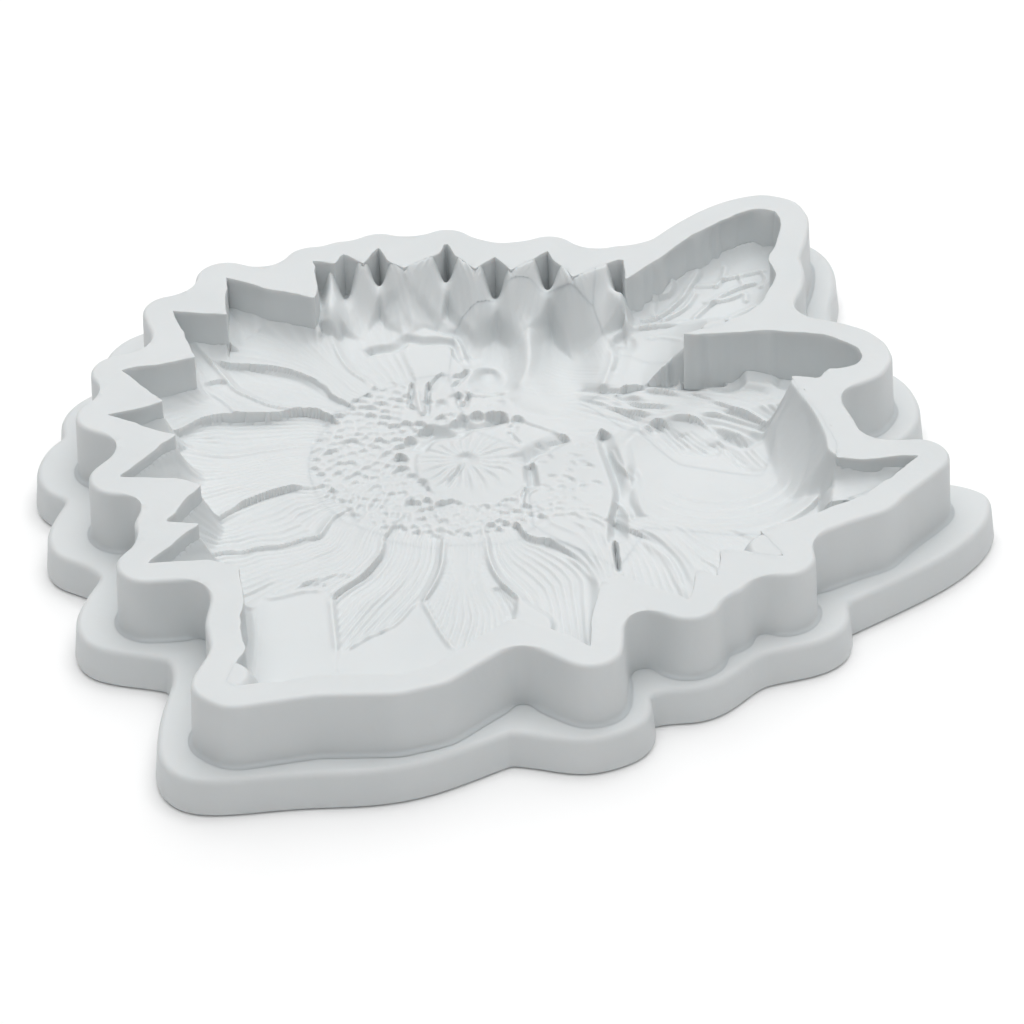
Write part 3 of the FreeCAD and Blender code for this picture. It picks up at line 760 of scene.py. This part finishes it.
for k, (line, half, amount, spacing) in enumerate(FRINGE):
    hairs(line, half, amount, spacing, 541 + k, ends=(0.1, 0.1))

# --- fold between the body and the tail, ending in a black slit
carve([(13.9, 9.6), (14.6, 5), (15.6, -1), (16.2, -6), (15.2, -13), (15, -19)], 2.4, 1.9, 1.1,
      ends=(0.04, 0.1), power=1)
carve([(17.6, 2), (18.3, -3), (17.6, -8), (18.4, -12.6)], 1.4, 1.4, 1.4, ends=(0.3, 0.05), power=1.2)
carve([(15, -18.6), (15.05, -22), (15.3, -25.6)], 4, 0.30, 0.30, ends=(0.2, 0.1), power=0.7)
ridge([(15.3, -7.8), (16.8, -10), (17.7, -13)], 0.7, 0.4, 0.6)
ridge([(15.2, 6.2), (16.2, 2), (17.6, -0.5), (18.8, -3)], 0.6, 0.5, 0.9)

# --- the furry strip left of the fold
for k in range(46):
    at = (RNG.uniform(4.5, 13.5), RNG.uniform(-10, 7.5))
    bowl(at, (1.1, 0.55), RNG.uniform(0.08, 0.3), turn=RNG.uniform(-60, 20))

# --- hollow with a diagonal lip, narrow hollow and finger beside the flower's middle
carve([(9.4, 8.6), (6.8, 6.4), (4, 4.2), (2.6, 2)], 1.9, 0.4, 3.8, ends=(0.1, 0.1), power=1.3)
carve([(3.2, 2.6), (3.4, -0.5), (3.6, -3.6)], 2, 0.9, 1.3, ends=(0.2, 0.08), power=1)
carve([(2.3, -3.5), (1.9, -6.5), (1.95, -9)], 1.5, 0.35, 0.35)
ridge([(4.6, -3.6), (3, -4.6), (2.2, -6.8), (2.3, -8.8)], 0.5, 0.5, 0.8)
bowl((3.6, -11.2), (1.3, 2), 0.7)
carve([(2.4, -9.6), (2.3, -11.6)], 0.7, 0.3, 0.3)

# --- body stripes that fade into the petals
for k in range(5):
    x = 6.5 + 2.1 * k
    carve([(x, -9.5 - 0.6 * k), (x + 3.6, -14 - 0.8 * k), (x + 5.2, -19 - k)], 0.22, 0.5, 1.4)
carve([(3.6, -17.4), (6.4, -19.6), (9.6, -22.6), (12, -27.5)], 0.9, 2.6, 0.5, ends=(0.2, 0.3), power=1.3)
carve([(17, -15.8), (20, -18), (22.6, -21.6), (24, -26), (24.9, -31.5)], 0.9, 2.2, 0.6,
      ends=(0.2, 0.2), power=1.3)
carve([(-41, -7.6), (-38, -5.4), (-34.6, -3.6), (-30.4, -2.2)], 1, 1.9, 0.6, ends=(0.2, 0.15), power=1.3)


# ---------------------------------------------------------------- from the leaning plan to true places

def blurred(field):
    return smoothed(smoothed(field, 0), 1)


Z = blurred(np.clip(Z, 2.6, 15.6))
shifted = PY - LEAN * (Z - FLOOR)
shifted = np.maximum.accumulate(shifted + 1e-6 * np.arange(len(PLAN_Y))[:, None], axis=0)
RELIEF = np.stack([np.interp(PLAN_Y, shifted[:, k], Z[:, k]) for k in range(len(PLAN_X))], axis=1)
CAVITY = level_loops("rim_wall", RIM_TOP)[1]
BEDS = ["petal_bed", "seed_disc_bed", "bee_body_bed", "upper_wing_bed", "lower_wing_bed"]


def nearest_on(points, loops):
    """Distance from each point to the loops, and the nearest place on them."""
    a = np.vstack(loops)
    ab = np.vstack([np.roll(loop, -1, axis=0) for loop in loops]) - a
    size = (ab * ab).sum(axis=1) + 1e-12
    gap = np.empty(len(points))
    place = np.empty((len(points), 2))
    for part in np.array_split(np.arange(len(points)), len(points) // 2000 + 1):
        p = points[part]
        t = ((p[:, None, :] - a) * ab).sum(axis=2) / size
        foot = a + ab * np.clip(t, 0, 1)[:, :, None]
        d2 = ((p[:, None, :] - foot) ** 2).sum(axis=2)
        best = d2.argmin(axis=1)
        rows = np.arange(len(p))
        gap[part] = np.sqrt(d2[rows, best])
        place[part] = foot[rows, best]
    return gap, place


def fill_rows(loops, xs, ys):
    """Whether each grid place is inside the loops, by even and odd crossings along each row."""
    result = np.zeros((len(ys), len(xs)), dtype=bool)
    a = np.vstack(loops)
    b = np.vstack([np.roll(loop, -1, axis=0) for loop in loops])
    for row, y in enumerate(ys):
        hit = (a[:, 1] > y) != (b[:, 1] > y)
        if hit.any():
            p, q = a[hit], b[hit]
            at = np.sort(p[:, 0] + (y - p[:, 1]) * (q[:, 0] - p[:, 0]) / (q[:, 1] - p[:, 1]))
            result[row] = np.searchsorted(at, xs) % 2 == 1
    return result


CELL_X = PLAN_X[:-1] + GRID / 2
CELL_Y = PLAN_Y[:-1] + GRID / 2
INSIDE = fill_rows([CAVITY], PLAN_X, PLAN_Y)


def around(field, cells=1):
    """The field moved by some cells to each of the four sides."""
    return [np.roll(field, way, axis) for axis in (0, 1) for way in (cells, -cells)]


# The relief sweeps up to the foot of the wall: a little round most of it, further at the left petals'
# tips and furthest beside the tail.
REACH = 7.6
deep = INSIDE.copy()
for cells in (int(REACH / GRID), int(0.5 * REACH / GRID)):
    deep &= np.all(around(INSIDE, cells), axis=0)
FOOT = np.nonzero(INSIDE & ~deep)
foot_x, foot_y = PX[FOOT], PY[FOOT]
gap, _ = nearest_on(np.stack([foot_x, foot_y], axis=1), [CAVITY])
behind = ease((foot_y - 33) / 5) * ease((foot_x + 29.5) / 4) * ease((20 - foot_x) / 2)
left_tips = ease((-40 - foot_x) / 4) * ease((14 - foot_y) / 4)
tail_side = ease((foot_x - 36) / 4) * ease((13 - foot_y) / 3) * ease((foot_y + 11) / 4)
rise = 1.6 - 1.0 * behind + 4.0 * left_tips + 5.8 * tail_side
width = 2.2 + 1.8 * left_tips + 5.2 * tail_side
swept = RELIEF[FOOT] + rise * np.clip(1 - gap / width, 0, 1) ** 1.9

# Along the back the rim rolls down into the petals, except in the dark notch at each petal's tip.
NOTCHES = [(-29.4, 48.7), (-24.6, 50.1), (-19.2, 52), (-8.7, 52.5), (-1.1, 48.2), (7.2, 49.5), (18.5, 46)]
roll_field = np.where(INSIDE, 0.0, 1.0)
roll_field[FOOT] = np.clip(1 - gap / 6.6, 0, 1) ** 1.4
for _ in range(60):
    roll_field = blurred(roll_field)
notch = np.min([np.hypot(1.1 * (foot_x - x), 0.36 * (foot_y - y)) for x, y in NOTCHES], axis=0)
roll = behind * ease((notch - 0.25) / 2.6) * roll_field[FOOT] * 1.12
swept = swept + (BRIM - swept) * np.clip(roll, 0, 1)

# Places where a petal's tip is filled up to just below the rim, with how far that reaches.
SHALLOWS = [(36.4, -31.0, 7.0), (-39.4, -57.0, 7.5)]
for x, y, radius in SHALLOWS:
    near_tip = ease(1.5 * (1 - np.hypot(foot_x - x, foot_y - y) / radius))
    swept = swept + np.maximum(BRIM - swept, 0) * near_tip
RELIEF[FOOT] = np.minimum(swept, BRIM)

# Fine rays spread from the back notches, and the petals there are smoothed, but not their upper edge.
for k, (x, y) in enumerate(NOTCHES[1:6]):
    ray_x, ray_y = PX - x, y - PY
    spread = np.arctan2(ray_x, ray_y + 1.0)
    far = np.hypot(ray_x, ray_y)
    fade = ease((far - 2.0) / 3.0) * ease((14.0 - far) / 6.0) * ease((0.75 - np.abs(spread)) / 0.3)
    rays = 0.32 * fade * (veins(spread * 9, far, 0.75, 600 + k) - 0.5)
    RELIEF += np.where(INSIDE & (ray_y > 0), rays, 0.0)
calm = INSIDE & (PY > 36) & (PX > -30) & (PX < 21)
calm[tuple(np.array(FOOT)[:, gap < 0.8])] = False
RELIEF = np.where(calm, blurred(blurred(RELIEF)), RELIEF)

# Which bed each cell belongs to; the beds run a little way into the wall, and the relief with them.
OWNER = np.zeros((len(CELL_Y), len(CELL_X)), dtype=int)
for number, bed_name in enumerate(BEDS, start=1):
    OWNER[fill_rows(level_loops(bed_name, 0.0), CELL_X, CELL_Y)] = number
for _ in range(4):
    grown = OWNER.copy()
    for moved in around(OWNER):
        grown = np.where(grown == 0, moved, grown)
    OWNER = grown
known = INSIDE.copy()
for cells in range(1, 6):
    for reached, moved in zip(around(INSIDE, cells), around(RELIEF, cells)):
        beyond = ~known & reached
        RELIEF = np.where(beyond, moved, RELIEF)
        known |= beyond

SLOPE_Y, SLOPE_X = np.gradient(RELIEF, GRID)


def underside(flat, links, cells):
    """Triangles that face down between the corners of a bed's border, over its own cells."""
    _, _, tris, origin, _, _ = delaunay_2d_cdt([Vector(p) for p in flat], links, [], 0, 1e-6)
    order = np.array([o[0] if o else -1 for o in origin])
    tris = order[np.array(tris)]
    tris = tris[(tris >= 0).all(axis=1)]
    col, row = ((flat[tris].mean(axis=1) - (PLAN_X[0], PLAN_Y[0])) / GRID).astype(int).T
    return turned(flat, tris[cells[row, col]], up=False)


def shade_top(mesh, normals, count):
    """Gives the corners of the faces that come first, a bed's top, the relief's own normals."""
    corner_at = np.empty(len(mesh.loops), dtype=np.int32)
    mesh.loops.foreach_get("vertex_index", corner_at)
    face_normals = np.empty(len(mesh.polygons) * 3)
    mesh.polygons.foreach_get("normal", face_normals)
    totals = np.empty(len(mesh.polygons), dtype=np.int32)
    mesh.polygons.foreach_get("loop_total", totals)
    per_corner = np.repeat(face_normals.reshape(-1, 3), totals, axis=0)
    per_corner[:count] = normals[corner_at[:count]]
    mesh.normals_split_custom_set(per_corner.tolist())


def bed(name):
    """One bed: its share of the relief on top, upright sides and a flat underside."""
    cells = OWNER == BEDS.index(name) + 1
    rows, cols = np.nonzero(cells)
    width = len(PLAN_X)
    base = rows * width + cols
    quads = np.stack([base, base + 1, base + 1 + width, base + width], axis=1)
    used, index = np.unique(quads, return_inverse=True)
    quads = index.reshape(-1, 4)
    count = len(used)
    x, y, z = [field.ravel()[used] for field in (PX, PY, RELIEF)]
    normals = np.stack([-SLOPE_X.ravel()[used], -SLOPE_Y.ravel()[used], np.ones(count)], axis=1)
    normals /= np.linalg.norm(normals, axis=1)[:, None]

    edges = np.vstack([quads[:, [k, (k + 1) % 4]] for k in range(4)])
    border = edges[~np.isin(edges @ (count, 1), edges @ (1, count))]
    rim = np.unique(border)
    gap, place = nearest_on(np.stack([x[rim], y[rim]], axis=1), level_loops(name, 0.0))
    close = gap < 1.5 * GRID
    x[rim[close]], y[rim[close]] = place[close].T

    flat = np.stack([x[rim], y[rim]], axis=1)
    down = np.full(count, -1)
    down[rim] = np.arange(len(rim))
    below = down[border]
    sides = np.column_stack([border[:, ::-1], below + count])
    under = underside(flat, below.tolist(), cells) + count
    corners = np.vstack([np.stack([x, y, z], axis=1), np.column_stack([flat, np.zeros(len(rim))])])
    piece = make_piece(name, corners, quads.tolist() + sides.tolist() + under.tolist())
    shade_top(piece.data, normals, quads.size)


for bed_name in BEDS:
    bed(bed_name)


# ---------------------------------------------------------------- rim wall

def fine_outline(loop, step, rounds):
    """The loop at a fine step, with its facets smoothed away but its real corners kept."""
    fine = resample(loop, step)
    sharp = (np.abs(bend(fine, max(2, int(1.6 / step)))) > 0.62)[:, None]
    for _ in range(rounds):
        eased = smoothed(fine)
        fine = np.where(sharp, 0.85 * fine + 0.15 * eased, eased)
    return fine


def room_to_move(loop, step, side):
    """0.05 to 1: how freely each point may shift, side 1 outward or -1 inward, without folding a corner."""
    tight = np.max([-side * bend(loop, reach) for reach in (1, 2, 3)], axis=0)
    free = 1 - 0.95 * ease((tight - 0.25) / 0.3)
    spread = int(1.2 / step)
    free = np.min([np.roll(free, k) + 0.12 * abs(k) for k in range(-spread, spread + 1)], axis=0)
    for _ in range(3):
        free = smoothed(free)
    return np.clip(free, 0.05, 1)[:, None]


def rounded_top(shell, loop, out, height, radius, inset):
    """Rings round an upper edge, from the top down to where the side stands inset from the loop."""
    angles = np.radians(np.linspace(0, 90, 6))
    return [shell.add(loop - out * (inset + radius * (1 - math.sin(a))), height - radius * (1 - math.cos(a)))
            for a in angles]


def rim_wall():
    shell = Shell()
    outer = fine_outline(level_loops("rim_wall", WALL_FOOT)[0], OUTER_STEP, 4)
    inner = fine_outline(CAVITY, INNER_STEP, 2)
    room = np.minimum(room_to_move(outer, OUTER_STEP, -1), room_to_move(outer, OUTER_STEP, 1))
    out = outward(outer) * room
    into = outward(inner) * room_to_move(inner, INNER_STEP, 1)

    # outside: rounded top edge, a little draft, a small fillet on the ledge
    round_off, draft, fillet = 0.75, 0.35, 0.7
    rings = rounded_top(shell, outer, out, RIM_TOP, round_off, draft)
    for share in (0.35, 0.7, 1.0):
        height = RIM_TOP - round_off - share * (RIM_TOP - round_off - WALL_FOOT - fillet)
        rings.append(shell.add(outer - out * draft * (1 - share), height))
    for angle in np.radians((30, 60, 90)):
        spread = fillet * (1 - math.cos(angle))
        rings.append(shell.add(outer + out * spread, WALL_FOOT + fillet * (1 - math.sin(angle))))
    shell.strips(rings)

    # inside: slightly ragged edge, ribs in the wings, down to below the beds' surface
    count = len(inner)
    waves = 0.30 * wobble(count, INNER_STEP, 4.5, 5) + 0.13 * wobble(count, INNER_STEP, 1.5, 6)
    ribs = 0.35 * wobble(count, INNER_STEP, 1.1, 8) + 0.35 * wobble(count, INNER_STEP, 3.2, 9)
    wing = ease((inner[:, 0] - 17) / 3) * ease((inner[:, 1] - 22) / 3)
    inner_rings = []
    for inset, drop in ((0.32, 0), (0.1, 0.06), (0, 0.3), (0, 0.8), (0, 2), (0, 4), (0, 6), (0, 10)):
        depth = ease((drop - 0.3) / 1.2)
        push = inset + waves * (1 - 0.5 * depth) - 0.02 * drop + 0.85 * wing * ribs * depth
        inner_rings.append(shell.add(inner + into * push[:, None], RIM_TOP - drop))
    shell.strips(inner_rings[::-1])

    swell = lambda p: RIM_TOP - 0.02 + 0.06 * lattice(*(p / 9).T, 60)
    shell.cap(rings[0], inner_rings[0], 1.1, True, swell)
    shell.cap(rings[-1], inner_rings[-1], 1.6, False, lambda p: WALL_FOOT)
    piece = make_piece("rim_wall", np.vstack(shell.corners), shell.faces)
    piece.data.set_sharp_from_angle(angle=math.radians(50))


rim_wall()


# ---------------------------------------------------------------- base flange

def base_flange():
    shell = Shell()
    outer = fine_outline(level_loops("base_flange", 0.0)[0], FLANGE_STEP, 5)
    cavity = resample(CAVITY, 1.0)
    out = outward(outer) * room_to_move(outer, FLANGE_STEP, -1)
    round_off, under, lean = 1.0, 0.8, 0.45
    rings = rounded_top(shell, outer, out, WALL_FOOT, round_off, lean)
    for angle in np.radians(np.linspace(0, 90, 5)):
        inset = under * (1 - math.cos(angle))
        rings.append(shell.add(outer - out * inset, under * (1 - math.sin(angle))))
    inner_top = shell.add(cavity, WALL_FOOT)
    inner_low = shell.add(cavity, 0.0)
    shell.strips(rings)
    shell.strips([inner_low, inner_top])
    swell = lambda p: WALL_FOOT - 0.03 + 0.08 * lattice(*(p / 11).T, 70)
    shell.cap(rings[0], inner_top, 1.6, True, swell)
    shell.cap(rings[-1], inner_low, 2.5, False, lambda p: 0.0)
    piece = make_piece("base_flange", np.vstack(shell.corners), shell.faces)
    piece.data.set_sharp_from_angle(angle=math.radians(50))


base_flange()


# ---------------------------------------------------------------- floor, light and camera

def floor_piece():
    size = 4.0
    mesh = bpy.data.meshes.new("floor")
    corners = [(-size, -size, 0), (size, -size, 0), (size, size, 0), (-size, size, 0)]
    mesh.from_pydata(corners, [], [(0, 1, 2, 3)])
    piece = bpy.data.objects.new("floor", mesh)
    bpy.context.collection.objects.link(piece)
    mat = bpy.data.materials.new("floor")
    mat.use_nodes = True
    tune(mat.node_tree.nodes["Principled BSDF"],
         Base_Color=(0.94, 0.94, 0.94, 1), Roughness=0.9, Specular_IOR_Level=0.1)
    mesh.materials.append(mat)


floor_piece()

scene = bpy.context.scene
scene.view_settings.view_transform = "Standard"


def studio():
    """A white surround, dim at the horizon and bright overhead."""
    world = bpy.data.worlds.new("studio")
    world.use_nodes = True
    nodes, links = world.node_tree.nodes, world.node_tree.links
    coords = nodes.new("ShaderNodeTexCoord")
    parts = nodes.new("ShaderNodeSeparateXYZ")
    fade = nodes.new("ShaderNodeMapRange")
    tune(fade, From_Min=0.0, From_Max=0.9, To_Min=0.10, To_Max=0.54)
    tune(nodes["Background"], Color=(1, 1, 1, 1))
    links.new(coords.outputs["Generated"], parts.inputs["Vector"])
    links.new(parts.outputs["Z"], fade.inputs["Value"])
    links.new(fade.outputs["Result"], nodes["Background"].inputs["Strength"])
    scene.world = world


studio()


def softbox(name, place, size, power):
    """A soft rectangular light that faces the mould."""
    light = bpy.data.lights.new(name, "AREA")
    light.shape = "RECTANGLE"
    light.size, light.size_y = size
    light.energy = power
    lamp = bpy.data.objects.new(name, light)
    bpy.context.collection.objects.link(lamp)
    lamp.location = place
    lamp.rotation_euler = (-Vector(place)).to_track_quat("-Z", "Y").to_euler()


softbox("top_back", (0.1, 0.75, 1.15), (1.6, 1.1), 7.8)
softbox("overhead", (0.1, -0.15, 1.3), (1.4, 1.4), 9.9)


def place_camera():
    """The photo's view: from the front and above, slightly rolled, through a long lens."""
    elevation, roll, distance = math.radians(35), math.radians(1.95), 0.66176
    target = Vector((0.0003, -0.0045, 0.0066))
    turn = Matrix.Rotation(math.pi / 2 - elevation, 4, "X") @ Matrix.Rotation(-roll, 4, "Z")
    data = bpy.data.cameras.new("camera")
    data.lens = 158.2
    data.sensor_width = 36.0
    data.clip_start = 0.01
    data.shift_y = -0.0117
    camera = bpy.data.objects.new("camera", data)
    camera.matrix_world = Matrix.Translation(target) @ turn @ Matrix.Translation((0, 0, distance))
    bpy.context.collection.objects.link(camera)
    scene.camera = camera


place_camera()
